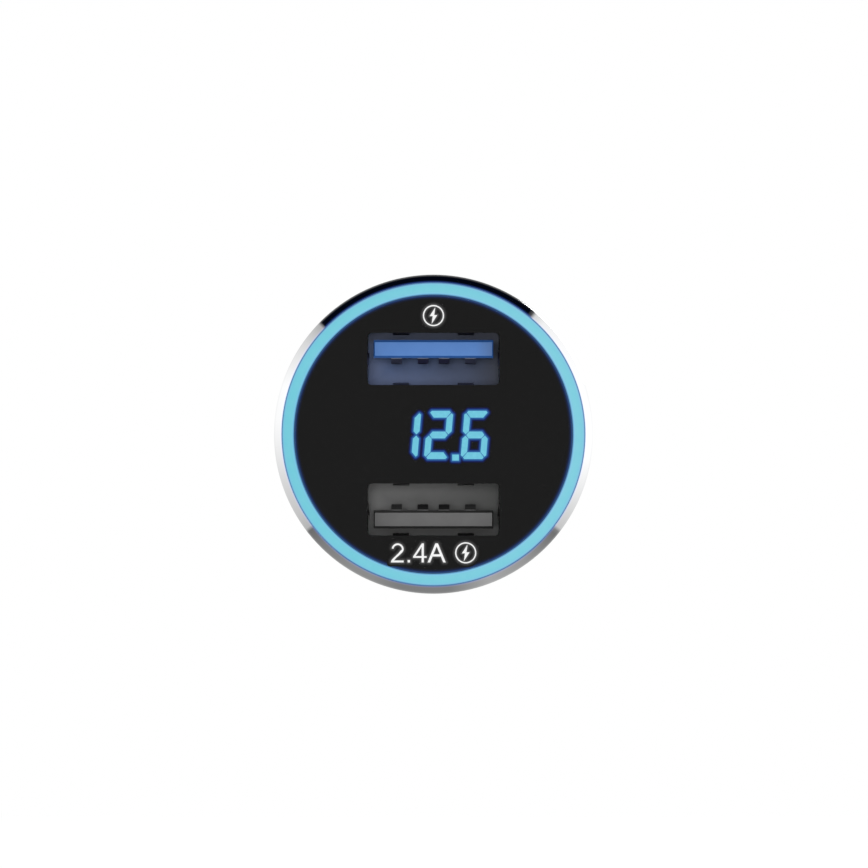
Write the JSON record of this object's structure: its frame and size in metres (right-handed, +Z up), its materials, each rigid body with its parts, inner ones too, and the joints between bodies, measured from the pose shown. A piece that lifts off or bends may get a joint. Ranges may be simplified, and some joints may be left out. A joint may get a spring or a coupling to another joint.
{
  "type": "car usb charger plug",
  "caption": "Plug for a 12 V car accessory socket: polished round head with two USB ports, a voltage display and a ring light, on a black barrel with sprung contacts.",
  "frame": {"origin": "centre of the annular stop face that meets the socket's rim, on the plug's axis", "axes": "+Y along the plug towards its contact tip, so the face looks along -Y; +Z up, from the lower port to the upper one; +X to the right when looking at the face"},
  "size_m": [0.0302, 0.0602, 0.0302],
  "materials": {
    "polished_metal": "mirror polished",
    "light_guide": "clear to milky, lit from behind",
    "smoked_panel": "smooth smoked black",
    "black_plastic": "matt black",
    "lit_cells": "diffusing, lit",
    "tinned_metal": "tinned",
    "circuit_board": "satin solder mask",
    "screw_steel": "zinc plated",
    "contact_gold": "gold flashed",
    "port_contact": "dull plated",
    "can_aluminium": "printed shrink sleeve",
    "ferrite": "matt sintered",
    "chip_plastic": "fine matt",
    "pale_ceramic": "glazed",
    "housing_plastic": "satin moulded",
    "plated_metal": "bright nickel",
    "plated_contact": "nickel plated",
    "spring_steel": "drawn wire",
    "sheet_brass": "bare stamped",
    "port_steel": "dull nickel plated",
    "blue_plastic": "satin blue",
    "grey_plastic": "satin dark grey",
    "lamp_lens": "clear over phosphor",
    "leaf_steel": "plated spring strip"
  },
  "bodies": {
    "housing": {"head_sleeve": "polished_metal", "light_ring": "light_guide", "face_panel": "smoked_panel", "front_chassis": "black_plastic", "display_block": "black_plastic", "display_cells": "lit_cells", "display_pins": "tinned_metal", "lamp_board": "circuit_board", "ring_lamp_1": "lamp_lens", "ring_lamp_2": "lamp_lens", "ring_lamp_3": "lamp_lens", "ring_lamp_4": "lamp_lens", "ring_lamp_5": "lamp_lens", "ring_lamp_6": "lamp_lens", "ring_lamp_7": "lamp_lens", "ring_lamp_8": "lamp_lens", "upper_port_shell": "port_steel", "lower_port_shell": "port_steel", "upper_port_tongue": "blue_plastic", "lower_port_tongue": "grey_plastic", "upper_port_contact_1": "port_contact", "upper_port_contact_2": "port_contact", "upper_port_contact_3": "port_contact", "upper_port_contact_4": "port_contact", "lower_port_contact_1": "port_contact", "lower_port_contact_2": "port_contact", "lower_port_contact_3": "port_contact", "lower_port_contact_4": "port_contact", "port_board": "circuit_board", "board_screws": "screw_steel", "link_header": "black_plastic", "link_pins": "contact_gold", "power_board": "circuit_board", "input_capacitor": "can_aluminium", "output_capacitor": "can_aluminium", "inductor": "ferrite", "converter_chip": "chip_plastic", "charge_chip": "chip_plastic", "rectifier": "chip_plastic", "surface_fuse": "pale_ceramic", "barrel_housing": "housing_plastic", "nose_ring": "plated_metal", "contact_spring": "spring_steel", "spring_plate": "sheet_brass", "left_ground_tab": "sheet_brass", "right_ground_tab": "sheet_brass"},
    "centre_contact": {"centre_contact": "plated_contact"},
    "left_side_contact": {"left_side_contact": "leaf_steel"},
    "right_side_contact": {"right_side_contact": "leaf_steel"}
  },
  "joints": [
    {"name": "tip_press", "type": "slide", "parent": "housing", "child": "centre_contact", "axis": [0, -1, 0], "range_m": [0, 0.0025], "stiffness_N_per_m": 2000, "springref_m": -0.0015, "deforming": ["contact_spring"]},
    {"name": "left_contact_press", "type": "hinge", "parent": "housing", "child": "left_side_contact", "pos_m": [-0.00866, 0.0296, 0], "axis": [0, 0, 1], "range_deg": [0, 5.5], "stiffness_Nm_per_rad": 0.4, "springref_deg": -2.86},
    {"name": "right_contact_press", "type": "hinge", "parent": "housing", "child": "right_side_contact", "pos_m": [0.00866, 0.0296, 0], "axis": [0, 0, -1], "range_deg": [0, 5.5], "stiffness_Nm_per_rad": 0.4, "springref_deg": -2.86}
  ]
}
